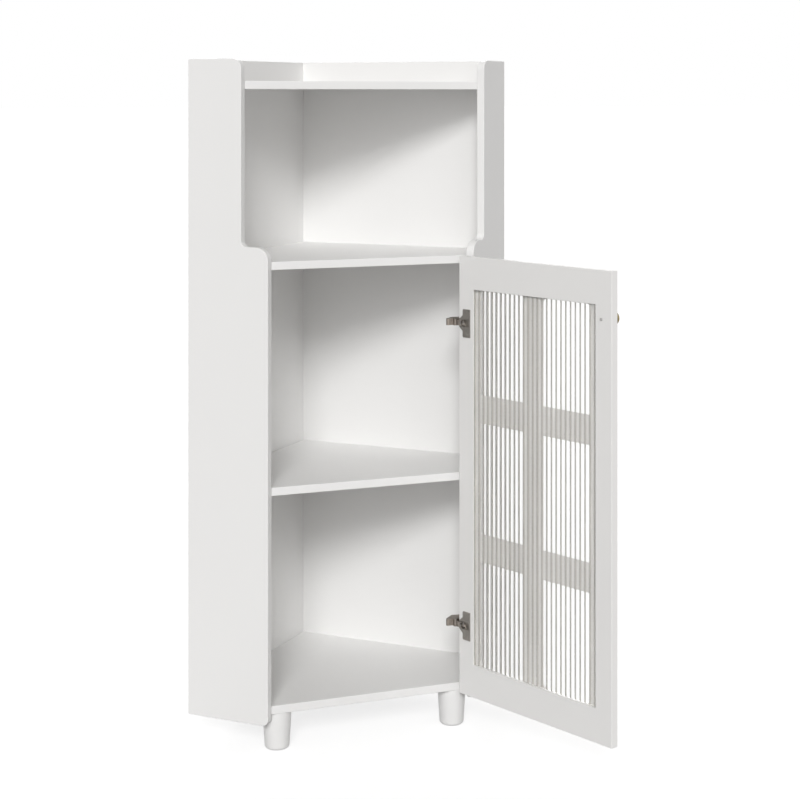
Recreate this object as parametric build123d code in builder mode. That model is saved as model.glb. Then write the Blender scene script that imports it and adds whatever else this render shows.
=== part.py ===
from build123d import *
import os
from math import atan2, degrees, radians, sqrt

# Freestanding corner bathroom cabinet with one glazed door, modelled with the door open.
# Sizes are in millimetres. The origin is the cabinet's outer back corner at floor level, where the two
# room walls meet. +Z is up, the front faces -Y and the two walls run forwards at 45 degrees.

# Carcass boards
BOARD = 15.0
WALL_LEG = 450.0  # along each wall, from the back corner to a side panel's outer face
SIDE_DEPTH = 165.0  # side panel beside the door, measured out from its wall
SIDE_DEPTH_TOP = 110.0  # side panel beside the open compartment
HEIGHT = 1255.0
SKIRT_Z = 52.5  # bottom edge of the standing panels
BOTTOM_Z = 70.0  # undersides of the lying boards
LOWER_SHELF_Z = 464.5
MIDDLE_SHELF_Z = 872.5
TOP_Z = 1199.5
STEP_Z = 913.5  # top of the wide part of the side panels
TOE_R = 12.0
SHOULDER_R = 24.0
THROAT_R = 11.5
CROWN_R = 18.0
EASE = 1.5  # rounding of the boards' front edges
EASE_FINE = 1.0
SHELF_GAP = 0.4  # clearance round the loose shelf

# Feet
FOOT_H = 70.0
FOOT_R_TOP = 26.0
FOOT_R_SOLE = 22.5
FOOT_COLLAR = 12.0  # upright part under the bottom board
FOOT_COLLAR_BEND = 60.0
FOOT_SOLE_ROUND = 7.0
FOOT_FRONT_X = 172.5
FOOT_FRONT_Y = -397.2
FOOT_REAR_Y = -65.0
FOOT_BOLT_R = 4.0
FOOT_BOLT_GRIP = 35.0  # length inside the foot
INSERT_R = 6.0
INSERT_L = 11.0

# Board fasteners
CAM_R = 7.5
CAM_DEPTH = 12.5
CAM_REACH = 24.0  # from the board's end to the cam's centre
CAM_FIT = 0.1
CAM_BOLT_R = 2.5
CAM_BOLT_GRIP = 10.0
CAM_SHANK_R = 2.9
CAM_HEAD_R = 3.4
CAM_HEAD_L = 6.0
CAM_BORE_R = 4.0
DOWEL_R = 4.0
DOWEL_IN_PANEL = 10.0
DOWEL_IN_BOARD = 20.0
SCREW_R = 2.0
SCREW_HEAD_R = 4.0
SCREW_L = 42.0
SINK_ANGLE = 90.0
BACK_CAM_HEIGHTS = (180.0, 660.0, 1140.0)
CORNER_SCREW_HEIGHTS = (140.0, 470.0, 800.0, 1130.0)
BOARD_SCREW_ALONG = (110.0, 340.0)  # panel screws into each lying board, along the wall
CAM_OUT = 125.0
DOWEL_OUT = 55.0
CAM_OUT_TOP = 85.0
DOWEL_OUT_TOP = 40.0
PIN_R = 2.5
PIN_IN_PANEL = 9.0
PIN_OUT = 9.0
PIN_SIDE_OUT = 130.0
PIN_BACK_ALONG = 150.0

# Door
DOOR_W = 380.0
DOOR_H = 818.0
DOOR_T = 15.0
DOOR_Z = 70.0
DOOR_GAP = 2.2  # between the boards' front edges and the closed door
RABBET_W = 305.0
RABBET_H = 697.0
RABBET_D = 6.0
WINDOW_W = 112.3
WINDOW_MULLION = 47.4  # width of the upright bar
WINDOW_H_END = 193.0  # top and bottom rows
WINDOW_H_MID = 204.0
WINDOW_BAR = 53.0  # height of each level bar
WINDOW_ROUND = 9.0
WINDOW_BEVEL = 7.0
GLASS_T = 4.0
REED_DEPTH = 2.0
REED_PITCH = 11.5
REED_COUNT = 26
GLASS_PLAY = 1.0

# Knob
KNOB_S = 356.0  # from the hinge edge
KNOB_H = 732.5  # from the door's bottom edge
KNOB_R = 12.0
KNOB_L = 21.5
KNOB_BASE_R = 7.0
KNOB_BASE_L = 1.8
KNOB_NECK_R = 4.8
KNOB_NECK_L = 7.5
KNOB_CAP_R = 9.6  # where the neck meets the underside of the cap
KNOB_CAP_L = 14.0
KNOB_RIM_L = (15.5, 18.6)  # edge of the cap, from the door
KNOB_RIM_ROUND = 1.3
KNOB_SCREW_R = 2.0
KNOB_SCREW_GRIP = 9.0
KNOB_HEAD_R = 2.7
KNOB_HEAD_H = 1.6

# Door movement
OPEN_ANGLE = 110.3
POLE_S = 5.55  # centre of the turn between closed and open, from the hinge edge
POLE_D = 12.4  # and from the inner face into the door
CUP_PIN_S = 7.0
CUP_PIN_D = 4.0
ARM_PIN_REACH = 20.0  # from that centre to the arm pin

# Hinges
UPPER_HINGE_Z = 763.0
LOWER_HINGE_Z = 199.0
CUP_S = 16.0
CUP_R = 13.0
CUP_DEPTH = 11.0
CUP_FIT = 0.1
CUP_SHEET = 0.8
FLANGE_T = 1.2
WING_S = (10.5, 30.2)
WING_H = 52.6
WING_ROUND = 2.5
LOBE_HALF_H = 14.4  # lobe that narrows from the wings towards the door's hinge edge
LOBE_TIP_S = 1.0
LOBE_TIP_HALF_H = 7.2
SLOT_END_S = 27.0  # slot for the arm's nose, from the hinge edge
SLOT_H = 13.2
SLOT_ROUND = 2.0
CUP_SCREW_S = 21.5
CUP_SCREW_H = 20.5  # above and below the cup's centre
CUP_SCREW_R = 1.75
CUP_SCREW_L = 12.0
CUP_SCREW_HEAD_R = 2.9
CUP_NOTCH_H = 11.0
LUG_W = 4.0  # lugs that hold the cup pin
LUG_H = (5.5, 8.5)
LUG_DEPTH = 6.5
CUP_PIN_HALF_L = 7.2
CUP_PIN_R = 1.0
ARM_PIN_R = 1.2
PIN_RUNNING = 0.05  # radial clearance of a link on its pin
LINK_HALF_H = 4.95
LINK_SHEET = 1.0
LINK_BAND = 2.0
LINK_KNEE = (8.0, 3.8)
LINK_CREST = (14.6, 4.8)
LINK_BENDS = [4.0, 2.0]
LINK_WEB_X = (2.0, 12.0)
LINK_EYE_ARM = 2.2
LINK_EYE_CUP = 1.7
ARM_HALF_H = 6.1
ARM_SHEET = 1.0
ARM_EYE = 2.4
ARM_FRONT_Y = -424.2
ARM_FRONT_X = (146.5, 184.0)
NOSE_X = 172.2  # where the nose leaves the arm's front, beside the side panel
ARM_HEIGHT_LOW = 15.5  # web above the side panel, rear part
ARM_FOOT = 3.0  # gap between the arm's flanges and the side panel
ARM_CRANK = (3.0, 14.0)
ARM_BENDS = [2.5, 3.0, 4.0, 1.2]
NOSE_WALL_PLAY = 0.3  # between the wall beside the nose and the link's knuckle
ARM_REAR = 46.0
BASE_T = (8.0, 44.0)
BASE_HALF_H = 4.6
BASE_WING_T = (19.0, 41.0)
BASE_WING_W = 2.5
BASE_WING_H = 42.0
BASE_SCREW_H = 16.0
BASE_SCREW_T = 30.0
BASE_SCREW_R = 1.75
BASE_SCREW_L = 13.0
BASE_SCREW_HEAD_R = 3.4
ARM_SCREW_T = (20.0, 37.0)
ARM_SCREW_R = 2.0
ARM_SCREW_HEAD_R = 3.6
ARM_SCREW_HEAD_H = 2.0
ARM_SCREW_L = 9.0

# Directions on the right half of the plan
ALONG = Vector(1, -1, 0).normalized()  # along the right wall
OUT = Vector(-1, -1, 0).normalized()  # out from the right wall
UP = Vector(0, 0, 1)
INNER = WALL_LEG - BOARD  # distance along the wall of the side panel's inner face

SIDE_PLANE = Plane(origin=ALONG * WALL_LEG, x_dir=OUT, z_dir=-ALONG)
BACK_PLANE = Plane(origin=(0, 0, 0), x_dir=ALONG, z_dir=OUT)


def spot(along, out, height=0.0):
    """Point given by its distances along and out from the right wall."""
    return ALONG * along + OUT * out + UP * height


def mirrored(place):
    """The same place on the left half."""
    at = place.origin
    facing = place.z_dir
    towards = place.x_dir
    return Plane(
        origin=(-at.X, at.Y, at.Z),
        x_dir=(-towards.X, towards.Y, towards.Z),
        z_dir=(-facing.X, facing.Y, facing.Z),
    )


def both_sides(places):
    return places + [mirrored(place) for place in places]


def flipped(places):
    """The same places, facing the other way."""
    return [Plane(origin=place.origin, x_dir=place.x_dir, z_dir=-place.z_dir) for place in places]


def at_joint(along, out, height, facing, towards=UP):
    return Plane(origin=spot(along, out, height), x_dir=towards, z_dir=facing)


# Places of the board fasteners: every fastener's Z axis points out of the hole that is drilled for it
FIXED_BOARDS = (
    (BOTTOM_Z, CAM_OUT, DOWEL_OUT),
    (MIDDLE_SHELF_Z, CAM_OUT, DOWEL_OUT),
    (TOP_Z, CAM_OUT_TOP, DOWEL_OUT_TOP),
)
board_bolts = [at_joint(INNER, cam_out, z + BOARD / 2, -ALONG) for z, cam_out, dowel_out in FIXED_BOARDS]
board_cams = [at_joint(INNER - CAM_REACH, cam_out, z, -UP, ALONG) for z, cam_out, dowel_out in FIXED_BOARDS]
board_dowels = [at_joint(INNER, dowel_out, z + BOARD / 2, -ALONG) for z, cam_out, dowel_out in FIXED_BOARDS]
back_bolts = [at_joint(INNER, BOARD / 2, z, -ALONG) for z in BACK_CAM_HEIGHTS]
back_cams = [at_joint(INNER - CAM_REACH, 0, z, -OUT, ALONG) for z in BACK_CAM_HEIGHTS]
board_screws = [
    at_joint(along, 0, z + BOARD / 2, -OUT)
    for z, cam_out, dowel_out in FIXED_BOARDS
    for along in BOARD_SCREW_ALONG
]
corner_screws = [mirrored(at_joint(BOARD / 2, 0, z, -OUT)) for z in CORNER_SCREW_HEIGHTS]
PIN_Z = LOWER_SHELF_Z - PIN_R
side_pins = [at_joint(INNER, PIN_SIDE_OUT, PIN_Z, -ALONG)]
back_pins = [at_joint(PIN_BACK_ALONG, BOARD, PIN_Z, OUT)]


# Standing panels
with BuildPart() as side_blank:
    with BuildSketch(SIDE_PLANE):
        with BuildLine():
            FilletPolyline(
                (0, SKIRT_Z),
                (SIDE_DEPTH, SKIRT_Z),
                (SIDE_DEPTH, STEP_Z),
                (SIDE_DEPTH_TOP, STEP_Z),
                (SIDE_DEPTH_TOP, HEIGHT),
                (0, HEIGHT),
                radius=[TOE_R, SHOULDER_R, THROAT_R, CROWN_R],
            )
            Line((0, HEIGHT), (0, SKIRT_Z))
        make_face()
    extrude(amount=BOARD)
    faces_wide = side_blank.faces().filter_by(Axis(SIDE_PLANE.origin, SIDE_PLANE.z_dir))
    outline = faces_wide.edges().filter_by(lambda e: (e.center() - SIDE_PLANE.origin).dot(OUT) > EASE)
    fillet(outline, EASE)
    with Locations(*board_bolts, *back_bolts):
        Hole(CAM_BOLT_R, depth=CAM_BOLT_GRIP)
    with Locations(*board_dowels):
        Hole(DOWEL_R, depth=DOWEL_IN_PANEL)
    with Locations(*side_pins):
        Hole(PIN_R, depth=PIN_IN_PANEL)


def back_blank(start):
    """Right-hand back panel, from a distance along the wall to the side panel."""
    length = INNER - start
    with BuildPart() as blank:
        with BuildSketch(BACK_PLANE):
            with Locations((start + length / 2, (SKIRT_Z + HEIGHT) / 2)):
                Rectangle(length, HEIGHT - SKIRT_Z)
        extrude(amount=BOARD)
        fillet(blank.edges().filter_by(Axis(BACK_PLANE.origin, ALONG)).group_by(Axis.Z)[-1], EASE_FINE)
        with Locations(*back_cams):
            Hole(CAM_R, depth=CAM_DEPTH)
        with Locations(*flipped(back_bolts)):
            Hole(CAM_BORE_R, depth=CAM_REACH)
        with Locations(*board_screws):
            CounterSinkHole(SCREW_R, SCREW_HEAD_R, depth=BOARD, counter_sink_angle=SINK_ANGLE)
        with Locations(*back_pins):
            Hole(PIN_R, depth=PIN_IN_PANEL)
    return blank


right_blank = back_blank(BOARD)
with BuildPart() as right_back_panel:
    add(right_blank.part)
    with Locations(*corner_screws):
        Hole(SCREW_R, depth=SCREW_L)

left_blank = back_blank(0)
with BuildPart() as left_back_panel:
    mirror(left_blank.part, about=Plane.YZ)
    with Locations(*corner_screws):
        CounterSinkHole(SCREW_R, SCREW_HEAD_R, depth=BOARD, counter_sink_angle=SINK_ANGLE)


# Lying boards
def board_corners(depth, gap=0.0):
    """Plan corners of a lying board whose front reaches the side panels at this depth."""
    right = [spot(INNER - gap, BOARD + gap), spot(INNER - gap, depth)]
    left = [Vector(-corner.X, corner.Y) for corner in reversed(right)]
    back = spot(BOARD + gap, BOARD + gap)
    return [(corner.X, corner.Y) for corner in [back, *right, *left]]


def lying_board(underside, depth, gap=0.0):
    with BuildPart() as board:
        with BuildSketch(Plane.XY.offset(underside)):
            Polygon(*board_corners(depth, gap), align=None)
        extrude(amount=BOARD)
        fillet(board.edges().filter_by(Axis.X).group_by(Axis.Y)[0], EASE_FINE)
    return board


def at_level(places, low, high):
    return [place for place in places if low <= place.origin.Z <= high]


def fixed_board(underside, depth):
    """Lying board with the bores of its cams, cam bolts, dowels and screws."""
    blank = lying_board(underside, depth)
    top = underside + BOARD
    with BuildPart() as board:
        add(blank.part)
        with Locations(*at_level(both_sides(board_cams), underside, top)):
            Hole(CAM_R, depth=CAM_DEPTH)
        with Locations(*at_level(flipped(both_sides(board_bolts)), underside, top)):
            Hole(CAM_BORE_R, depth=CAM_REACH)
        with Locations(*at_level(flipped(both_sides(board_dowels)), underside, top)):
            Hole(DOWEL_R, depth=DOWEL_IN_BOARD)
        with Locations(*at_level(both_sides(board_screws), underside, top)):
            Hole(SCREW_R, depth=SCREW_L)
    return board


top_panel = fixed_board(TOP_Z, SIDE_DEPTH_TOP)
middle_shelf = fixed_board(MIDDLE_SHELF_Z, SIDE_DEPTH)
lower_shelf = lying_board(LOWER_SHELF_Z, SIDE_DEPTH, SHELF_GAP)
bottom_blank = fixed_board(BOTTOM_Z, SIDE_DEPTH)
FOOT_SPOTS = {
    "foot_front_left": (-FOOT_FRONT_X, FOOT_FRONT_Y),
    "foot_front_right": (FOOT_FRONT_X, FOOT_FRONT_Y),
    "foot_rear": (0, FOOT_REAR_Y),
}
FOOT_TOPS = [Plane(origin=(x, y, BOTTOM_Z)) for x, y in FOOT_SPOTS.values()]
with BuildPart() as bottom_panel:
    add(bottom_blank.part)
    with Locations(*flipped(FOOT_TOPS)):
        Hole(INSERT_R, depth=INSERT_L)


# Board fasteners
with BuildPart() as cam_disc:
    Cylinder(CAM_R - CAM_FIT, CAM_DEPTH - CAM_FIT, align=(Align.CENTER, Align.CENTER, Align.MAX))
    with Locations(Plane(origin=(CAM_R, 0, -BOARD / 2), z_dir=(1, 0, 0))):
        Hole(CAM_BORE_R - CAM_FIT, depth=CAM_R + CAM_BORE_R)

with BuildPart() as cam_discs:
    with Locations(*both_sides(board_cams), *both_sides(back_cams)):
        add(cam_disc.part)

with BuildPart() as cam_bolt:
    Cylinder(CAM_BOLT_R, CAM_BOLT_GRIP, align=(Align.CENTER, Align.CENTER, Align.MAX))
    Cylinder(CAM_SHANK_R, CAM_REACH - CAM_HEAD_L, align=(Align.CENTER, Align.CENTER, Align.MIN))
    with BuildSketch(Plane.XY.offset(CAM_REACH - CAM_HEAD_L)):
        Circle(CAM_HEAD_R)
    extrude(amount=CAM_HEAD_L)

with BuildPart() as cam_bolts:
    with Locations(*both_sides(board_bolts), *both_sides(back_bolts)):
        add(cam_bolt.part)

with BuildPart() as dowels:
    with Locations(*both_sides(board_dowels)):
        Cylinder(DOWEL_R, DOWEL_IN_PANEL, align=(Align.CENTER, Align.CENTER, Align.MAX))
        Cylinder(DOWEL_R, DOWEL_IN_BOARD, align=(Align.CENTER, Align.CENTER, Align.MIN))


def countersunk_screw(radius, head_radius, length):
    """Screw with its head's face at the origin and its point down the Z axis."""
    head = head_radius - radius
    with BuildPart() as screw:
        Cylinder(radius, length, align=(Align.CENTER, Align.CENTER, Align.MAX))
        Cone(radius, head_radius, head, align=(Align.CENTER, Align.CENTER, Align.MAX))
    return screw


panel_screw = countersunk_screw(SCREW_R, SCREW_HEAD_R, SCREW_L)
with BuildPart() as panel_screws:
    with Locations(*both_sides(board_screws), *corner_screws):
        add(panel_screw.part)

with BuildPart() as shelf_pins:
    with Locations(*both_sides(side_pins), *both_sides(back_pins)):
        Cylinder(PIN_R, PIN_IN_PANEL, align=(Align.CENTER, Align.CENTER, Align.MAX))
        Cylinder(PIN_R, PIN_OUT, align=(Align.CENTER, Align.CENTER, Align.MIN))


# Feet
with BuildPart() as foot_blank:
    with BuildSketch(Plane.XZ):
        with BuildLine():
            FilletPolyline(
                (0, 0),
                (FOOT_R_SOLE, 0),
                (FOOT_R_TOP, FOOT_H - FOOT_COLLAR),
                (FOOT_R_TOP, FOOT_H),
                (0, FOOT_H),
                radius=[FOOT_SOLE_ROUND, FOOT_COLLAR_BEND, EASE_FINE],
            )
            Line((0, FOOT_H), (0, 0))
        make_face()
    revolve(axis=Axis.Z)
    with Locations(Plane(origin=(0, 0, FOOT_H))):
        Hole(FOOT_BOLT_R, depth=FOOT_BOLT_GRIP)

feet = []
for name, (x, y) in FOOT_SPOTS.items():
    with BuildPart() as foot:
        with Locations((x, y)):
            add(foot_blank.part)
    foot.part.label = name
    feet.append(foot)

with BuildPart() as foot_inserts:
    with BuildSketch(*FOOT_TOPS):
        Circle(INSERT_R)
        Circle(FOOT_BOLT_R, mode=Mode.SUBTRACT)
    extrude(amount=INSERT_L)

with BuildPart() as foot_bolts:
    with Locations(*FOOT_TOPS):
        Cylinder(FOOT_BOLT_R, FOOT_BOLT_GRIP, align=(Align.CENTER, Align.CENTER, Align.MAX))
        Cylinder(FOOT_BOLT_R, INSERT_L, align=(Align.CENTER, Align.CENTER, Align.MIN))


# Door, closed and open: local X runs from the hinge edge, local Y up and local Z out of the inner face
FRONT_Y = spot(INNER, SIDE_DEPTH).Y
closed_door = Plane(origin=(DOOR_W / 2, FRONT_Y - DOOR_GAP, DOOR_Z), x_dir=(-1, 0, 0), z_dir=(0, 1, 0))
pole = closed_door.from_local_coords(Vector(POLE_S, -DOOR_Z, -POLE_D))
cup_pin_closed = closed_door.from_local_coords(Vector(CUP_PIN_S, -DOOR_Z, -CUP_PIN_D))


def swung(point, angle):
    """Point turned about the upright line through the turn's centre."""
    return pole + (point - pole).rotate(Axis.Z, angle)


DOOR = Plane(
    origin=swung(closed_door.origin, OPEN_ANGLE),
    x_dir=closed_door.x_dir.rotate(Axis.Z, OPEN_ANGLE),
    z_dir=closed_door.z_dir.rotate(Axis.Z, OPEN_ANGLE),
)
cup_pin_at = swung(cup_pin_closed, OPEN_ANGLE)
# The arm pin lies halfway between the cup pin's two directions, so that one link fits both ends
pin_ray = (cup_pin_closed - pole).rotate(Axis.Z, OPEN_ANGLE / 2).normalized()
arm_pin_at = pole + pin_ray * ARM_PIN_REACH


def door_point(s, h, out=0.0):
    return DOOR.from_local_coords(Vector(s, h, out))


def door_plane(s, h, out=0.0):
    """Plane on the door facing out of its inner face."""
    return Plane(origin=door_point(s, h, out), x_dir=DOOR.x_dir, z_dir=DOOR.z_dir)


WINDOW_X = (WINDOW_MULLION + WINDOW_W) / 2
WINDOW_ROW = WINDOW_H_MID / 2 + WINDOW_BAR + WINDOW_H_END / 2
hinge_heights = {"upper": UPPER_HINGE_Z, "lower": LOWER_HINGE_Z}
cup_places = [door_plane(CUP_S, z - DOOR_Z) for z in hinge_heights.values()]
cup_screw_places = [
    door_plane(CUP_SCREW_S, z - DOOR_Z + side * CUP_SCREW_H, FLANGE_T)
    for z in hinge_heights.values()
    for side in (-1, 1)
]
knob_place = door_plane(KNOB_S, KNOB_H)

with BuildPart() as door_frame:
    with BuildSketch(DOOR):
        with Locations((DOOR_W / 2, DOOR_H / 2)):
            Rectangle(DOOR_W, DOOR_H)
    extrude(amount=-DOOR_T)
    fillet(door_frame.edges(), EASE_FINE)
    with BuildSketch(DOOR):
        with Locations((DOOR_W / 2, DOOR_H / 2)):
            Rectangle(RABBET_W, RABBET_H)
    extrude(amount=-RABBET_D, mode=Mode.SUBTRACT)
    with BuildSketch(DOOR.offset(-RABBET_D)) as window_sketch:
        with Locations((DOOR_W / 2, DOOR_H / 2)):
            with GridLocations(2 * WINDOW_X, 1, 2, 1):
                Rectangle(WINDOW_W, WINDOW_H_MID)
            with GridLocations(2 * WINDOW_X, 2 * WINDOW_ROW, 2, 2):
                Rectangle(WINDOW_W, WINDOW_H_END)
        corner_rows = window_sketch.vertices().group_by(Axis.Y)
        fillet(corner_rows[0] + corner_rows[-1], WINDOW_ROUND)
    extrude(amount=RABBET_D - DOOR_T, mode=Mode.SUBTRACT)
    outer_face = door_frame.faces().sort_by(Axis(DOOR.origin, -DOOR.z_dir))[-1]
    chamfer(outer_face.inner_wires().edges(), WINDOW_BEVEL)
    with Locations(*cup_places):
        Hole(CUP_R, depth=CUP_DEPTH)
    with Locations(*cup_screw_places):
        Hole(CUP_SCREW_R, depth=CUP_SCREW_L)
    with Locations(knob_place):
        Hole(KNOB_SCREW_R, depth=DOOR_T)

# Reeded glass: flat inside, with upright reeds that bear on the door's window bars
glass_w = RABBET_W - 2 * GLASS_PLAY
glass_h = RABBET_H - 2 * GLASS_PLAY
reed_start = (glass_w - REED_COUNT * REED_PITCH) / 2
reed_end = glass_w - reed_start
glass_corner = door_point((DOOR_W - glass_w) / 2, (DOOR_H + glass_h) / 2, -RABBET_D)
with BuildPart() as reeded_glass:
    with BuildSketch(Plane(origin=glass_corner, x_dir=DOOR.x_dir, z_dir=-UP)):
        with BuildLine():
            Polyline((reed_start, REED_DEPTH), (reed_start, 0), (0, 0), (0, GLASS_T))
            Polyline((0, GLASS_T), (glass_w, GLASS_T), (glass_w, 0), (reed_end, 0), (reed_end, REED_DEPTH))
            for reed in range(REED_COUNT):
                left = reed_start + reed * REED_PITCH
                crest = (left + REED_PITCH / 2, 0)
                ThreePointArc((left, REED_DEPTH), crest, (left + REED_PITCH, REED_DEPTH))
        make_face()
    extrude(amount=glass_h)

# Knob on the outer face, with its screw through the door
knob_plane = Plane(origin=door_point(KNOB_S, KNOB_H, -DOOR_T), x_dir=UP, z_dir=UP.cross(-DOOR.z_dir))
knob_rise = KNOB_L - KNOB_RIM_L[1]
knob_crown_r = (KNOB_R**2 + knob_rise**2) / (2 * knob_rise)
with BuildPart() as door_knob:
    with BuildSketch(knob_plane) as knob_profile:
        with BuildLine():
            Polyline((0, KNOB_L), (0, 0), (KNOB_BASE_R, 0), (KNOB_BASE_R, KNOB_BASE_L))
            ThreePointArc((KNOB_BASE_R, KNOB_BASE_L), (KNOB_NECK_R, KNOB_NECK_L), (KNOB_CAP_R, KNOB_CAP_L))
            Polyline((KNOB_CAP_R, KNOB_CAP_L), (KNOB_R, KNOB_RIM_L[0]), (KNOB_R, KNOB_RIM_L[1]))
            RadiusArc((KNOB_R, KNOB_RIM_L[1]), (0, KNOB_L), -knob_crown_r)
        make_face()
        rim_corners = knob_profile.vertices().group_by(Axis.X)[-1]
        fillet(rim_corners, KNOB_RIM_ROUND)
    revolve(axis=Axis(knob_plane.origin, -DOOR.z_dir))
    with Locations(door_plane(KNOB_S, KNOB_H, -DOOR_T)):
        Hole(KNOB_SCREW_R, depth=KNOB_SCREW_GRIP)

with BuildPart() as knob_screw:
    with Locations(knob_place):
        Cylinder(
            KNOB_SCREW_R, DOOR_T + KNOB_SCREW_GRIP, align=(Align.CENTER, Align.CENTER, Align.MAX)
        )
        Cylinder(KNOB_HEAD_R, KNOB_HEAD_H, align=(Align.CENTER, Align.CENTER, Align.MIN))
    fillet(knob_screw.faces().sort_by(Axis(DOOR.origin, DOOR.z_dir))[-1].edges(), KNOB_HEAD_H / 2)


# Hinges
ARM_ALONG = -OUT  # from the side panel's front edge towards the wall
ARM_OFF = -ALONG  # off the side panel, into the cabinet


def panel_spot(along, off, height=0.0):
    """Point by its distance back from the side panel's inner front corner and its distance off the panel."""
    return spot(INNER, SIDE_DEPTH, height) + ARM_ALONG * along + ARM_OFF * off


def panel_plane(along, off, height):
    return Plane(origin=panel_spot(along, off, height), x_dir=ARM_ALONG, z_dir=ARM_OFF)


def hinge_cup(height):
    """Pressed cup and its flange, which has two screw wings and a slot for the link and the arm's nose."""
    middle = height - DOOR_Z
    rim = CUP_R - CUP_FIT
    lobe = [
        (CUP_S, LOBE_HALF_H),
        (WING_S[0], LOBE_HALF_H),
        (LOBE_TIP_S, LOBE_TIP_HALF_H),
        (LOBE_TIP_S, -LOBE_TIP_HALF_H),
        (WING_S[0], -LOBE_HALF_H),
        (CUP_S, -LOBE_HALF_H),
    ]
    with BuildPart() as cup:
        with BuildSketch(door_plane(CUP_S, middle)):
            Circle(rim)
        extrude(amount=-(CUP_DEPTH - CUP_FIT))
        with BuildSketch(door_plane(0, middle)) as flange:
            with Locations(((WING_S[0] + WING_S[1]) / 2, 0)):
                Rectangle(WING_S[1] - WING_S[0], WING_H)
            fillet(flange.vertices().group_by(Axis.X)[0], WING_ROUND)
            Polygon(*lobe, align=None)
        extrude(amount=FLANGE_T)
        with BuildSketch(door_plane(CUP_S, middle)):
            Circle(rim - CUP_SHEET)
        extrude(amount=-(CUP_DEPTH - CUP_FIT - CUP_SHEET), mode=Mode.SUBTRACT)
        with BuildSketch(door_plane(0, middle)):
            Rectangle(CUP_S, CUP_NOTCH_H, align=(Align.MIN, Align.CENTER))
            with Locations((CUP_S, 0)):
                RectangleRounded(2 * (SLOT_END_S - CUP_S), SLOT_H, SLOT_ROUND)
        extrude(amount=FLANGE_T, mode=Mode.SUBTRACT)
        with Locations(*at_level(cup_screw_places, height - WING_H, height + WING_H)):
            CounterSinkHole(CUP_SCREW_R, CUP_SCREW_HEAD_R, FLANGE_T, SINK_ANGLE)
        with BuildSketch(door_plane(CUP_S, middle)):
            with Locations((CUP_PIN_S - CUP_S, 0)):
                Rectangle(LUG_W, 2 * LUG_H[1])
                Rectangle(LUG_W, 2 * LUG_H[0], mode=Mode.SUBTRACT)
            Circle(rim - CUP_SHEET / 2, mode=Mode.INTERSECT)
        extrude(amount=-LUG_DEPTH)
        with Locations(Plane(origin=cup_pin_at + UP * (height + CUP_R), z_dir=UP)):
            Hole(CUP_PIN_R, depth=2 * CUP_R)
    return cup


def upright_pin(at, radius, height, half_length):
    with BuildPart() as pin:
        with Locations((at.X, at.Y, height)):
            Cylinder(radius, 2 * half_length)
    return pin


link_length = (cup_pin_at - arm_pin_at).length
link_dir = (cup_pin_at - arm_pin_at).normalized()
# Goose-neck centre line from the arm pin to the cup pin, on local X, bending away from the door's edge
LINK_PATH = [(0, 0), LINK_KNEE, LINK_CREST, (link_length, 0)]


with BuildSketch() as link_band:
    with BuildLine():
        FilletPolyline(*LINK_PATH, radius=LINK_BENDS)
    trace(line_width=LINK_BAND)

with BuildSketch() as link_web:
    add(link_band.sketch)
    with Locations((0, -LINK_SHEET)):
        add(link_band.sketch, mode=Mode.SUBTRACT)
    with Locations(((LINK_WEB_X[0] + LINK_WEB_X[1]) / 2, 0)):
        Rectangle(LINK_WEB_X[1] - LINK_WEB_X[0], link_length, mode=Mode.INTERSECT)


def hinge_link(height):
    """Pressed link: two goose-neck ears joined by a web on their outer side and a knuckle on the arm pin."""
    top = Plane(origin=arm_pin_at + UP * (height + LINK_HALF_H), x_dir=link_dir, z_dir=-UP)
    with BuildPart() as link:
        with BuildSketch(top):
            add(link_band.sketch)
            Circle(LINK_EYE_ARM)
            with Locations((link_length, 0)):
                Circle(LINK_EYE_CUP)
        extrude(amount=2 * LINK_HALF_H)
        with BuildSketch(top.offset(LINK_SHEET)):
            with Locations((link_length / 2, 0)):
                Rectangle(2 * link_length, link_length)
            Circle(LINK_EYE_ARM, mode=Mode.SUBTRACT)
            add(link_web.sketch, mode=Mode.SUBTRACT)
        extrude(amount=2 * (LINK_HALF_H - LINK_SHEET), mode=Mode.SUBTRACT)
        with Locations(Plane(origin=arm_pin_at + UP * (height + LINK_HALF_H))):
            Hole(ARM_PIN_R + PIN_RUNNING, depth=2 * LINK_HALF_H)
        with Locations(Plane(origin=cup_pin_at + UP * (height + LINK_HALF_H))):
            Hole(CUP_PIN_R + PIN_RUNNING, depth=2 * LINK_HALF_H)
    return link


def flat(point):
    return (point.X, point.Y)


nose_left = arm_pin_at.X - ARM_EYE
nose_right = arm_pin_at.X + ARM_EYE
# Height of the web's front part over the side panel, so that the web ends at the arm's front corner
ARM_HEIGHT = (spot(INNER, SIDE_DEPTH) - Vector(ARM_FRONT_X[0], ARM_FRONT_Y)).dot(ALONG)
WEB_LINE = [
    flat(panel_spot(ARM_REAR, ARM_HEIGHT_LOW)),
    flat(panel_spot(ARM_CRANK[1], ARM_HEIGHT_LOW)),
    flat(panel_spot(ARM_CRANK[0], ARM_HEIGHT)),
    (ARM_FRONT_X[0], ARM_FRONT_Y),
    (nose_left, ARM_FRONT_Y),
]

with BuildSketch() as arm_outline:
    with BuildLine():
        FilletPolyline(*WEB_LINE, (nose_left, arm_pin_at.Y), radius=ARM_BENDS)
        ThreePointArc(
            (nose_left, arm_pin_at.Y), (arm_pin_at.X, arm_pin_at.Y - ARM_EYE), (nose_right, arm_pin_at.Y)
        )
        Polyline(
            (nose_right, arm_pin_at.Y),
            (NOSE_X, ARM_FRONT_Y),
            (ARM_FRONT_X[1], ARM_FRONT_Y),
            flat(panel_spot(0, ARM_FOOT)),
            flat(panel_spot(ARM_REAR, ARM_FOOT)),
            WEB_LINE[0],
        )
    make_face()

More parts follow.
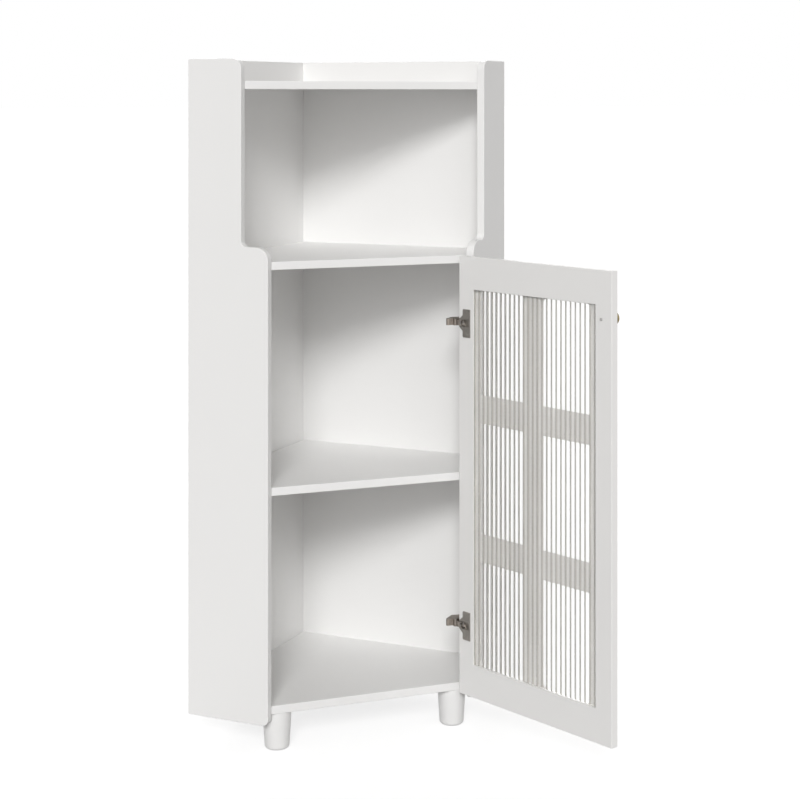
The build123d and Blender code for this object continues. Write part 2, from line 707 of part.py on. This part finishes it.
with BuildSketch() as arm_inside:
    add(arm_outline.sketch)
    with BuildLine():
        FilletPolyline(
            *WEB_LINE, (nose_left, arm_pin_at.Y + LINK_EYE_ARM + NOSE_WALL_PLAY), radius=ARM_BENDS
        )
    trace(line_width=2 * ARM_SHEET, mode=Mode.SUBTRACT)


def hinge_arm(height):
    """Channel-shaped arm: two flanges, a web away from the side panel, and a nose that holds the arm pin."""
    with BuildPart() as arm:
        with BuildSketch(Plane.XY.offset(height - ARM_HALF_H)):
            add(arm_outline.sketch)
        extrude(amount=2 * ARM_HALF_H)
        with BuildSketch(Plane.XY.offset(height - ARM_HALF_H + ARM_SHEET)):
            add(arm_inside.sketch)
        extrude(amount=2 * (ARM_HALF_H - ARM_SHEET), mode=Mode.SUBTRACT)
        with Locations(Plane(origin=arm_pin_at + UP * (height + ARM_HALF_H))):
            Hole(ARM_PIN_R, depth=2 * ARM_HALF_H)
        with Locations(*[panel_plane(along, ARM_HEIGHT_LOW, height) for along in ARM_SCREW_T]):
            Hole(ARM_SCREW_R, depth=ARM_SHEET)
    return arm


def hinge_base(height):
    """Mounting plate: a block under the arm on a wing with two screw holes."""
    block_h = ARM_HEIGHT_LOW - ARM_SHEET
    with BuildPart() as base:
        with BuildSketch(panel_plane(0, 0, height)):
            with Locations(((BASE_T[0] + BASE_T[1]) / 2, 0)):
                Rectangle(BASE_T[1] - BASE_T[0], 2 * BASE_HALF_H)
        extrude(amount=block_h)
        with BuildSketch(panel_plane(0, 0, height)):
            with Locations(((BASE_WING_T[0] + BASE_WING_T[1]) / 2, 0)):
                RectangleRounded(BASE_WING_T[1] - BASE_WING_T[0], BASE_WING_H, BASE_HALF_H)
        extrude(amount=BASE_WING_W)
        with Locations(*[panel_plane(along, block_h, height) for along in ARM_SCREW_T]):
            Hole(ARM_SCREW_R, depth=ARM_SCREW_L)
        with Locations(*base_screw_places(height)):
            CounterSinkHole(BASE_SCREW_R, BASE_SCREW_HEAD_R, BASE_WING_W, SINK_ANGLE)
    return base


def base_screw_places(height):
    return [panel_plane(BASE_SCREW_T, BASE_WING_W, height + side * BASE_SCREW_H) for side in (-1, 1)]


all_base_screws = [place for z in hinge_heights.values() for place in base_screw_places(z)]
all_arm_screws = [panel_plane(t, ARM_HEIGHT_LOW, z) for z in hinge_heights.values() for t in ARM_SCREW_T]

base_screw = countersunk_screw(BASE_SCREW_R, BASE_SCREW_HEAD_R, BASE_SCREW_L)
with BuildPart() as base_screws:
    with Locations(*all_base_screws):
        add(base_screw.part)

cup_screw = countersunk_screw(CUP_SCREW_R, CUP_SCREW_HEAD_R, CUP_SCREW_L)
with BuildPart() as cup_screws:
    with Locations(*cup_screw_places):
        add(cup_screw.part)

with BuildPart() as arm_screws:
    with Locations(*all_arm_screws):
        Cylinder(ARM_SCREW_R, ARM_SCREW_L, align=(Align.CENTER, Align.CENTER, Align.MAX))
        Cylinder(ARM_SCREW_HEAD_R, ARM_SCREW_HEAD_H, align=(Align.CENTER, Align.CENTER, Align.MIN))

with BuildPart() as right_side_panel:
    add(side_blank.part)
    with Locations(*all_base_screws):
        Hole(BASE_SCREW_R, depth=BASE_SCREW_L)

with BuildPart() as left_side_panel:
    mirror(side_blank.part, about=Plane.YZ)


# Write one file for each piece
os.makedirs("parts", exist_ok=True)


def write(builder, name):
    builder.part.label = name
    export_step(builder.part, f"parts/{name}.step")


write(left_side_panel, "left_side_panel")
write(right_side_panel, "right_side_panel")
write(left_back_panel, "left_back_panel")
write(right_back_panel, "right_back_panel")
write(top_panel, "top_panel")
write(middle_shelf, "middle_shelf")
write(lower_shelf, "lower_shelf")
write(bottom_panel, "bottom_panel")
write(cam_discs, "cam_discs")
write(cam_bolts, "cam_bolts")
write(dowels, "dowels")
write(panel_screws, "panel_screws")
write(shelf_pins, "shelf_pins")
write(foot_inserts, "foot_inserts")
write(foot_bolts, "foot_bolts")
for foot in feet:
    write(foot, foot.part.label)
write(door_frame, "door_frame")
write(reeded_glass, "reeded_glass")
write(door_knob, "door_knob")
write(knob_screw, "knob_screw")
write(base_screws, "base_screws")
write(cup_screws, "cup_screws")
write(arm_screws, "arm_screws")
for level, z in hinge_heights.items():
    write(hinge_cup(z), f"{level}_hinge_cup")
    write(hinge_link(z), f"{level}_hinge_link")
    write(hinge_arm(z), f"{level}_hinge_arm")
    write(hinge_base(z), f"{level}_hinge_base")
    write(upright_pin(arm_pin_at, ARM_PIN_R, z, ARM_HALF_H), f"{level}_arm_pin")
    write(upright_pin(cup_pin_at, CUP_PIN_R, z, CUP_PIN_HALF_L), f"{level}_cup_pin")

# Joint places and angles, for the record
open_dir = cup_pin_at - arm_pin_at
closed_dir = cup_pin_closed - arm_pin_at
link_turn = degrees(atan2(closed_dir.Y, closed_dir.X) - atan2(open_dir.Y, open_dir.X))
print("arm pin", arm_pin_at, "cup pin", cup_pin_at)
print("link turns", link_turn, "door turns on the link", -OPEN_ANGLE - link_turn)
print("ratio", link_turn / (-OPEN_ANGLE - link_turn))
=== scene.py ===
from math import cos, radians, sin

import bmesh
import bpy
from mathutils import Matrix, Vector


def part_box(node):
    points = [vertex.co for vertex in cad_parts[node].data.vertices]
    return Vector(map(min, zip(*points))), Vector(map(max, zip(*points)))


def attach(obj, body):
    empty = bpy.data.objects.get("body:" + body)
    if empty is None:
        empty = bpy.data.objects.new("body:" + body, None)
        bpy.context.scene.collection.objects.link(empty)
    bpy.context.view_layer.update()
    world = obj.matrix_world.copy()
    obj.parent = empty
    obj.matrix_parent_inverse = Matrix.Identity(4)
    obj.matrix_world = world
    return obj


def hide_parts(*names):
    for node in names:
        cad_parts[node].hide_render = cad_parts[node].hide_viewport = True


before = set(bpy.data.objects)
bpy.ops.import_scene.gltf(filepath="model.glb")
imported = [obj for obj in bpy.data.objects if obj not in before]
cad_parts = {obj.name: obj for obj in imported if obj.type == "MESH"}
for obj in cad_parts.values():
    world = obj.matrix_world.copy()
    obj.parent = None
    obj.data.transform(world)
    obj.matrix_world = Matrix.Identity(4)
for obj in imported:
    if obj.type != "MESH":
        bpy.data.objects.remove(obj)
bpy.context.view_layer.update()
scene = bpy.context.scene

# Directions of the open door: from its hinges to its knob, and out of its inner face
OPEN_ANGLE = radians(110.3)
DOOR_ACROSS = Vector((-cos(OPEN_ANGLE), -sin(OPEN_ANGLE), 0))
DOOR_INSIDE = Vector((-sin(OPEN_ANGLE), cos(OPEN_ANGLE), 0))

# Directions out of the two back panels, and out of the side panel's face that carries the hinges
BEHIND_RIGHT = Vector((1, 1, 0)).normalized()
BEHIND_LEFT = Vector((-1, 1, 0)).normalized()
FRONT_OF_SIDE = Vector((-1, 1, 0)).normalized()
UP = Vector((0, 0, 1))
DOWN = Vector((0, 0, -1))


# Camera, fitted to the photograph: its verticals are parallel and its horizon is near the upper edge
CAMERA_PLACE = (-1.12225, -3.47505, 1.18888)
CAMERA_TURN = (radians(90), 0, radians(-21.14))
SENSOR_WIDTH = 36
FOCAL_LENGTH = 79.30
FRAME_SHIFT = -0.3813
FARTHEST_SEEN = 400

camera_data = bpy.data.cameras.new("camera")
camera = bpy.data.objects.new("camera", camera_data)
scene.collection.objects.link(camera)
camera.location = CAMERA_PLACE
camera.rotation_euler = CAMERA_TURN
camera_data.sensor_width = SENSOR_WIDTH
camera_data.lens = FOCAL_LENGTH
camera_data.shift_y = FRAME_SHIFT
camera_data.clip_end = FARTHEST_SEEN
scene.camera = camera

scene.view_settings.view_transform = "Standard"


# Node helpers
NOISE_LOW = 0.3
NOISE_HIGH = 0.7
UNDER_ONE = 0.5


class Nodes:
    """The node tree of a material or world, with short calls for the nodes used here."""

    def __init__(self, owner):
        owner.use_nodes = True
        self.owner = owner
        self.tree = owner.node_tree

    def new(self, kind, **values):
        node = self.tree.nodes.new(kind)
        for name, value in values.items():
            setattr(node, name, value)
        return node

    def link(self, out_socket, in_socket):
        self.tree.links.new(out_socket, in_socket)

    def feed(self, value, socket):
        """Links a socket, or sets a plain value."""
        if hasattr(value, "links"):
            self.link(value, socket)
        else:
            socket.default_value = value

    def place(self, stretch=(1, 1, 1)):
        """Object coordinates in metres, times a stretch along each axis."""
        coordinates = self.new("ShaderNodeTexCoord")
        mapping = self.new("ShaderNodeMapping")
        mapping.inputs["Scale"].default_value = stretch
        self.link(coordinates.outputs["Object"], mapping.inputs["Vector"])
        return mapping.outputs["Vector"]

    def noise(self, where, scale, detail):
        node = self.new("ShaderNodeTexNoise")
        node.inputs["Scale"].default_value = scale
        node.inputs["Detail"].default_value = detail
        self.link(where, node.inputs["Vector"])
        return node.outputs["Fac"]

    def shades(self, noise, first, second):
        """A colour that goes from the first to the second over a noise's usual values."""
        node = self.new("ShaderNodeValToRGB")
        stops = ((NOISE_LOW, first), (NOISE_HIGH, second))
        for element, (position, colour) in zip(node.color_ramp.elements, stops):
            element.position = position
            element.color = (*colour, 1)
        self.link(noise, node.inputs["Fac"])
        return node.outputs["Color"]

    def span(self, factor, low, high, start=0.0, end=1.0):
        """A number that goes from low to high while the factor goes from start to end."""
        node = self.new("ShaderNodeMapRange")
        node.inputs["From Min"].default_value = start
        node.inputs["From Max"].default_value = end
        node.inputs["To Min"].default_value = low
        node.inputs["To Max"].default_value = high
        self.link(factor, node.inputs["Value"])
        return node.outputs["Result"]

    def math(self, operation, first, second):
        node = self.new("ShaderNodeMath", operation=operation)
        self.feed(first, node.inputs[0])
        self.feed(second, node.inputs[1])
        return node.outputs[0]

    def along(self, origin, direction):
        """Distance from a point along a direction, in metres."""
        offset = self.new("ShaderNodeVectorMath", operation="SUBTRACT")
        offset.inputs[1].default_value = origin
        self.link(self.place(), offset.inputs[0])
        dot = self.new("ShaderNodeVectorMath", operation="DOT_PRODUCT")
        dot.inputs[1].default_value = direction
        self.link(offset.outputs["Vector"], dot.inputs[0])
        return dot.outputs["Value"]

    def tint(self, factor, base, colour):
        """A colour socket that turns to a plain colour with a factor."""
        node = self.new("ShaderNodeMix", data_type="RGBA")
        self.link(factor, node.inputs["Factor"])
        self.link(base, node.inputs["A"])
        node.inputs["B"].default_value = (*colour, 1)
        return node.outputs["Result"]

    def bump(self, height, depth, under=None):
        """A normal from a height, on top of the normal under it."""
        node = self.new("ShaderNodeBump")
        node.inputs["Strength"].default_value = 1.0
        node.inputs["Distance"].default_value = depth
        self.link(height, node.inputs["Height"])
        if under is not None:
            self.link(under, node.inputs["Normal"])
        return node.outputs["Normal"]

    def set(self, **values):
        """Feeds the named sockets of a new material's own shader."""
        shader = self.tree.nodes["Principled BSDF"]
        for name, value in values.items():
            self.feed(value, shader.inputs[name.replace("_", " ")])

    def show_mix(self, factor, first, second, output):
        """Gives the output node a mix of two shader nodes."""
        mix = self.new("ShaderNodeMixShader")
        self.link(factor, mix.inputs[0])
        self.link(first.outputs[0], mix.inputs[1])
        self.link(second.outputs[0], mix.inputs[2])
        self.link(mix.outputs[0], output.inputs["Surface"])

    def seen_directly(self):
        """1 for rays that show the backdrop itself: from the camera, by gloss or through glass.

        0 for rays that only light a matt surface."""
        path = self.new("ShaderNodeLightPath")
        shown = path.outputs["Is Camera Ray"]
        for kind in ("Is Glossy Ray", "Is Transmission Ray"):
            shown = self.math("MAXIMUM", shown, path.outputs[kind])
        not_scattered = self.math("LESS_THAN", path.outputs["Diffuse Depth"], UNDER_ONE)
        return self.math("MULTIPLY", shown, not_scattered)


# Materials: scales of their noises, and depths in metres
LACQUER_TONE_SCALE = 3.5
LACQUER_GLOSS_SCALE = 60
PEEL_SCALE = 140
PEEL_DEPTH = 0.00003
FINE_PEEL_SCALE = 900
FINE_PEEL_DEPTH = 0.00002
GRAIN_SCALE = 700
GRAIN_DEPTH = 0.00001
STAIN_SCALE = 160
RING_SCALE = 14
RING_STRETCH = (12, 12, 1)
PORE_SCALE = 60
PORE_STRETCH = (30, 30, 2)
PORE_DEPTH = 0.00005
WAVE_SCALE = 40
WAVE_STRETCH = (1, 1, 0.25)
WAVE_DEPTH = 0.000001


def lacquer(name, light, shade, roughness=(0.36, 0.46)):
    """Sprayed satin lacquer: slow tone drift, a fine orange-peel skin and a soft coat."""
    nodes = Nodes(bpy.data.materials.new(name))
    where = nodes.place()
    drift = nodes.noise(where, LACQUER_TONE_SCALE, detail=2)
    cloud = nodes.noise(where, LACQUER_GLOSS_SCALE, detail=3)
    skin = nodes.bump(nodes.noise(where, FINE_PEEL_SCALE, detail=2), FINE_PEEL_DEPTH)
    nodes.set(
        Base_Color=nodes.shades(drift, shade, light),
        Roughness=nodes.span(cloud, *roughness),
        Specular_IOR_Level=0.42,
        Coat_Weight=0.12,
        Coat_Roughness=0.3,
        Normal=nodes.bump(nodes.noise(where, PEEL_SCALE, detail=2), PEEL_DEPTH, skin),
    )
    return nodes.owner


def plated(name, light, shade, roughness):
    """Plated metal with a faint grain and uneven gloss."""
    nodes = Nodes(bpy.data.materials.new(name))
    grain = nodes.noise(nodes.place(), GRAIN_SCALE, detail=4)
    stain = nodes.noise(nodes.place(), STAIN_SCALE, detail=3)
    nodes.set(
        Base_Color=nodes.shades(stain, shade, light),
        Metallic=1.0,
        Roughness=nodes.span(grain, *roughness),
        Normal=nodes.bump(grain, GRAIN_DEPTH),
    )
    return nodes.owner


def bare_wood(name, light, shade, roughness):
    """Bare wood with rings and fine pores along it."""
    nodes = Nodes(bpy.data.materials.new(name))
    rings = nodes.noise(nodes.place(RING_STRETCH), RING_SCALE, detail=5)
    pores = nodes.noise(nodes.place(PORE_STRETCH), PORE_SCALE, detail=4)
    nodes.set(
        Base_Color=nodes.shades(rings, shade, light),
        Roughness=nodes.span(pores, *roughness),
        Normal=nodes.bump(pores, PORE_DEPTH),
    )
    return nodes.owner


# Reeded glass: one band of painted shade on the flank of each reed, standing in for the grey of total
# internal reflection, and the tint of its shadow
REED_PITCH = 0.0115
BAND_SHIFT = -0.00135
BAND_HALF = 0.0022
BAND_FADE = 0.0002
# Painted shade: colour of the band that stands in for the grey of total internal reflection on each
# reed's flank
SHADE_BAND_COLOUR = (0.75, 0.73, 0.695)
BAND_ROUGHNESS = 0.5
REEDS_BEFORE = 0.0005
GLASS_LIGHT = (0.992, 0.994, 0.992)
GLASS_DARK = (0.985, 0.988, 0.985)
GLASS_SHADE = (0.48, 0.466, 0.443, 1)
GLASS_INDEX = 1.5


def reeded(name, pane):
    """Reeded glass: clear ribs, each with a band of painted shade up to the valley beside it, in
    place of the grey that total internal reflection gives on that flank.

    Shadow rays go straight through it and are dimmed."""
    low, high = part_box(pane)
    middle = (low + high) / 2 + DOOR_ACROSS * BAND_SHIFT
    nodes = Nodes(bpy.data.materials.new(name))
    # Painted shade: a band up to each reed's valley, where total internal reflection shows grey
    from_shade_band = nodes.math("PINGPONG", nodes.along(middle, DOOR_ACROSS), REED_PITCH / 2)
    shade_band = nodes.span(from_shade_band, 1.0, 0.0, start=BAND_HALF - BAND_FADE, end=BAND_HALF + BAND_FADE)
    on_reeds = nodes.math("LESS_THAN", nodes.along(middle, DOOR_INSIDE), REEDS_BEFORE)
    shade_band = nodes.math("MULTIPLY", shade_band, on_reeds)
    wave = nodes.noise(nodes.place(WAVE_STRETCH), WAVE_SCALE, detail=2)
    nodes.set(
        Base_Color=nodes.tint(shade_band, nodes.shades(wave, GLASS_DARK, GLASS_LIGHT), SHADE_BAND_COLOUR),
        Transmission_Weight=nodes.span(shade_band, 1.0, 0.0),
        IOR=GLASS_INDEX,
        Roughness=nodes.span(shade_band, 0.0, BAND_ROUGHNESS),
        Normal=nodes.bump(wave, WAVE_DEPTH),
    )
    shaded = nodes.new("ShaderNodeBsdfTransparent")
    shaded.inputs["Color"].default_value = GLASS_SHADE
    in_shadow = nodes.new("ShaderNodeLightPath").outputs["Is Shadow Ray"]
    shader = nodes.tree.nodes["Principled BSDF"]
    nodes.show_mix(in_shadow, shader, shaded, nodes.tree.nodes["Material Output"])
    return nodes.owner


# Colours and roughness of the finishes
WHITE = (0.885, 0.881, 0.872)
WHITE_SHADE = (0.872, 0.868, 0.859)
# Painted light: the door's white is a little brighter than the boards', standing in for extra light
# on the door's inner face
DOOR_PAINTED_LIGHT_WHITE = (0.92, 0.913, 0.90)
DOOR_PAINTED_LIGHT_WHITE_SHADE = (0.91, 0.903, 0.89)

board_white = lacquer("board_white", WHITE, WHITE_SHADE)
# Painted light: the door's lacquer uses the brighter white
door_painted_light_white = lacquer("door_painted_light_white", DOOR_PAINTED_LIGHT_WHITE, DOOR_PAINTED_LIGHT_WHITE_SHADE, roughness=(0.3, 0.4))
foot_white = lacquer("foot_white", WHITE, WHITE_SHADE, roughness=(0.3, 0.42))
reeded_clear = reeded("reeded_clear", "reeded_glass")
nickel = plated(
    "nickel", light=(0.44, 0.415, 0.385), shade=(0.38, 0.36, 0.335), roughness=(0.36, 0.5)
)
# Painted shade and reflection: the arm's and link's nickel is darker and browner than the base's,
# standing in for the brown reflection and shade seen on them
nickel_arm_painted_shade = plated(
    "nickel_arm_painted_shade", light=(0.32, 0.28, 0.245), shade=(0.25, 0.22, 0.19), roughness=(0.36, 0.5)
)
nickel_link_painted_shade = plated(
    "nickel_link_painted_shade", light=(0.37, 0.33, 0.295), shade=(0.30, 0.265, 0.235), roughness=(0.3, 0.42)
)
pin_steel = plated(
    "pin_steel", light=(0.42, 0.40, 0.38), shade=(0.35, 0.335, 0.32), roughness=(0.25, 0.36)
)
zinc = plated(
    "zinc", light=(0.50, 0.495, 0.485), shade=(0.41, 0.405, 0.40), roughness=(0.3, 0.45)
)
brass = plated(
    "brass", light=(0.32, 0.26, 0.143), shade=(0.24, 0.19, 0.10), roughness=(0.2, 0.32)
)
beech = bare_wood(
    "beech", light=(0.62, 0.44, 0.27), shade=(0.50, 0.34, 0.19), roughness=(0.55, 0.75)
)

FINISHES = {
    board_white: (
        "left_side_panel", "right_side_panel", "left_back_panel", "right_back_panel",
        "top_panel", "middle_shelf", "lower_shelf", "bottom_panel",
    ),
    foot_white: ("foot_front_left", "foot_front_right", "foot_rear"),
    door_painted_light_white: ("door_frame",),
    reeded_clear: ("reeded_glass",),
    brass: ("door_knob",),
    nickel: ("upper_hinge_base", "lower_hinge_base", "upper_hinge_cup", "lower_hinge_cup"),
    nickel_arm_painted_shade: ("upper_hinge_arm", "lower_hinge_arm"),
    nickel_link_painted_shade: ("upper_hinge_link", "lower_hinge_link"),
    pin_steel: ("upper_arm_pin", "lower_arm_pin", "upper_cup_pin", "lower_cup_pin", "shelf_pins"),
    zinc: ("foot_bolts", "foot_inserts", "cam_bolts"),
    beech: ("dowels",),
}
for material, names in FINISHES.items():
    for name in names:
        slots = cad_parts[name].data.materials
        slots.clear()
        slots.append(material)


# Screw and cam heads, with a cross cut into each; lengths in metres
WELD_DISTANCE = 0.000002
HEAD_THICKNESS = 0.00002
CROSS_RISE = 0.0004
CROSS_END_REACH = 0.45
CROSS_END_WIDTH = 0.78
NEARLY_UPRIGHT = 0.9
RIM_STEPS = 2
RIM_ANGLE = radians(50)
SHARP_ANGLE = radians(32)


def islands(mesh):
    """The separate pieces of a bmesh, each as a list of its vertices."""
    left = set(mesh.verts)
    found = []
    while left:
        stack = [left.pop()]
        island = []
        while stack:
            vertex = stack.pop()
            island.append(vertex)
            for edge in vertex.link_edges:
                other = edge.other_vert(vertex)
                if other in left:
                    left.discard(other)
                    stack.append(other)
        found.append(island)
    return found


def head_of(island, axes, flat):
    """The middle of a fastener's head, and the axis it points along.

    That is the axis in which the fastener is longest, or for flat discs shortest."""
    lengths = []
    for axis in axes:
        heights = [vertex.co.dot(axis) for vertex in island]
        lengths.append(max(heights) - min(heights))
    axis = axes[lengths.index(min(lengths) if flat else max(lengths))]
    top = max(vertex.co.dot(axis) for vertex in island)
    head = [vertex.co for vertex in island if vertex.co.dot(axis) > top - HEAD_THICKNESS]
    return sum(head, Vector()) / len(head), axis


def add_cross(mesh, centre, axis, reach, width, depth):
    """A tapered cross that stands a little out of a head and goes into it by its depth."""
    side = axis.orthogonal().normalized() if abs(axis.z) > NEARLY_UPRIGHT else UP
    other = axis.cross(side)
    rings = []
    for rise, reach_part, width_part in (
        (CROSS_RISE, 1.0, 1.0),
        (-depth, CROSS_END_REACH, CROSS_END_WIDTH),
    ):
        a = reach * reach_part
        w = width / 2 * width_part
        outline = [
            (a, -w), (a, w), (w, w), (w, a), (-w, a), (-w, w),
            (-a, w), (-a, -w), (-w, -w), (-w, -a), (w, -a), (w, -w),
        ]
        level = centre + axis * rise
        rings.append([mesh.verts.new(level + side * x + other * y) for x, y in outline])
    count = len(rings[0])
    mesh.faces.new(rings[0])
    mesh.faces.new(list(reversed(rings[1])))
    for i in range(count):
        k = (i + 1) % count
        mesh.faces.new((rings[0][k], rings[0][i], rings[1][i], rings[1][k]))


def mesh_object(mesh, name):
    """An object in the scene from a bmesh."""
    data = bpy.data.meshes.new(name)
    mesh.to_mesh(data)
    item = bpy.data.objects.new(name, data)
    scene.collection.objects.link(item)
    return item


def with_crosses(
    node, body, material, axes, reach, width, depth, flat=False, soften=0.00015
):
    """Replaces a node's fasteners by ones with crossed heads and softened rims."""
    piece_mesh = bmesh.new()
    piece_mesh.from_mesh(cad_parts[node].data)
    bmesh.ops.remove_doubles(piece_mesh, verts=piece_mesh.verts, dist=WELD_DISTANCE)
    cutter_mesh = bmesh.new()
    for island in islands(piece_mesh):
        centre, axis = head_of(island, axes, flat)
        add_cross(cutter_mesh, centre, axis, reach, width, depth)
    bmesh.ops.recalc_face_normals(cutter_mesh, faces=cutter_mesh.faces)
    piece = mesh_object(piece_mesh, node + "_detailed")
    piece.data.materials.clear()
    piece.data.materials.append(material)
    cutter = mesh_object(cutter_mesh, node + "_cutter")
    cut = piece.modifiers.new("cut", "BOOLEAN")
    cut.operation = "DIFFERENCE"
    cut.solver = "EXACT"
    cut.object = cutter
    rim = piece.modifiers.new("rim", "BEVEL")
    rim.width = soften
    rim.segments = RIM_STEPS
    rim.limit_method = "ANGLE"
    rim.angle_limit = RIM_ANGLE
    evaluated = piece.evaluated_get(bpy.context.evaluated_depsgraph_get())
    piece.data = bpy.data.meshes.new_from_object(evaluated)
    piece.modifiers.clear()
    bpy.data.objects.remove(cutter)
    for polygon in piece.data.polygons:
        polygon.use_smooth = True
    piece.data.set_sharp_from_angle(angle=SHARP_ANGLE)
    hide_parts(node)
    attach(piece, body)


with_crosses(
    "panel_screws", "carcass", zinc, (BEHIND_RIGHT, BEHIND_LEFT),
    reach=0.0024, width=0.0011, depth=0.0024,
)
with_crosses(
    "base_screws", "carcass", zinc, (FRONT_OF_SIDE,),
    reach=0.0020, width=0.0009, depth=0.0020,
)
with_crosses(
    "arm_screws", "carcass", zinc, (FRONT_OF_SIDE,),
    reach=0.0022, width=0.0010, depth=0.0016,
)
with_crosses(
    "cup_screws", "door", nickel, (DOOR_INSIDE,),
    reach=0.0018, width=0.0008, depth=0.0018,
)
with_crosses(
    "knob_screw", "door", zinc, (DOOR_INSIDE,),
    reach=0.0017, width=0.0008, depth=0.0012, soften=0.0001,
)
with_crosses(
    "cam_discs", "carcass", zinc, (DOWN, BEHIND_RIGHT, BEHIND_LEFT),
    reach=0.0040, width=0.0013, depth=0.0024, flat=True, soften=0.0003,
)


# Floor and world: both look white to the camera, in mirrors and through glass
FLOOR_HALF = 150
FLOOR_BOUNCE = 0.57
FLOOR_SHADOW = 0.40
FLOOR_GLOW = 0.76
AMBIENT_COLOUR = (1.0, 0.975, 0.955, 1)
AMBIENT_STRENGTH = 0.25
BACKDROP_WHITE = (1, 1, 1, 1)


def make_floor():
    """A floor that lights the cabinet as a grey one and shows as white, with the cabinet's shadow."""
    half = FLOOR_HALF
    mesh = bpy.data.meshes.new("floor")
    corners = [(-half, -half, 0), (half, -half, 0), (half, half, 0), (-half, half, 0)]
    mesh.from_pydata(corners, [], [(0, 1, 2, 3)])
    floor = bpy.data.objects.new("floor", mesh)
    scene.collection.objects.link(floor)
    nodes = Nodes(bpy.data.materials.new("floor_white"))
    nodes.tree.nodes.clear()
    bounce = nodes.new("ShaderNodeBsdfDiffuse")
    bounce.inputs["Color"].default_value = (FLOOR_BOUNCE, FLOOR_BOUNCE, FLOOR_BOUNCE, 1)
    shadowed = nodes.new("ShaderNodeBsdfDiffuse")
    shadowed.inputs["Color"].default_value = (FLOOR_SHADOW, FLOOR_SHADOW, FLOOR_SHADOW, 1)
    glow = nodes.new("ShaderNodeEmission")
    glow.inputs["Strength"].default_value = FLOOR_GLOW
    shown = nodes.new("ShaderNodeAddShader")
    nodes.link(shadowed.outputs[0], shown.inputs[0])
    nodes.link(glow.outputs[0], shown.inputs[1])
    output = nodes.new("ShaderNodeOutputMaterial")
    nodes.show_mix(nodes.seen_directly(), bounce, shown, output)
    mesh.materials.append(nodes.owner)


def make_world():
    """A dim light from all round, behind which the backdrop shows as white."""
    scene.world = bpy.data.worlds.new("world")
    nodes = Nodes(scene.world)
    nodes.tree.nodes.clear()
    ambient = nodes.new("ShaderNodeBackground")
    ambient.inputs["Color"].default_value = AMBIENT_COLOUR
    ambient.inputs["Strength"].default_value = AMBIENT_STRENGTH
    backdrop = nodes.new("ShaderNodeBackground")
    backdrop.inputs["Color"].default_value = BACKDROP_WHITE
    backdrop.inputs["Strength"].default_value = 1.0
    output = nodes.new("ShaderNodeOutputWorld")
    nodes.show_mix(nodes.seen_directly(), ambient, backdrop, output)


make_floor()
make_world()


# Lamps
LAMP_DISTANCE = 4


def far_lamp(name, azimuth, elevation, strength, softness):
    """Large far soft lamp, with its angles in degrees.

    Azimuth 0 shines along +Y, and a growing one comes round by the cabinet's right side."""
    data = bpy.data.lights.new(name, "SUN")
    data.energy = strength
    data.angle = radians(softness)
    lamp = bpy.data.objects.new(name, data)
    scene.collection.objects.link(lamp)
    turn, rise = radians(azimuth), radians(elevation)
    towards = Vector((sin(turn) * cos(rise), -cos(turn) * cos(rise), sin(rise)))
    lamp.rotation_euler = towards.to_track_quat("Z", "Y").to_euler()
    lamp.location = towards * LAMP_DISTANCE


far_lamp("key", azimuth=-25, elevation=29, strength=1.48, softness=15)
far_lamp("low", azimuth=-28, elevation=15, strength=0.38, softness=30)
far_lamp("front", azimuth=-5, elevation=30, strength=0.32, softness=30)
far_lamp("back", azimuth=170, elevation=30, strength=1.25, softness=40)
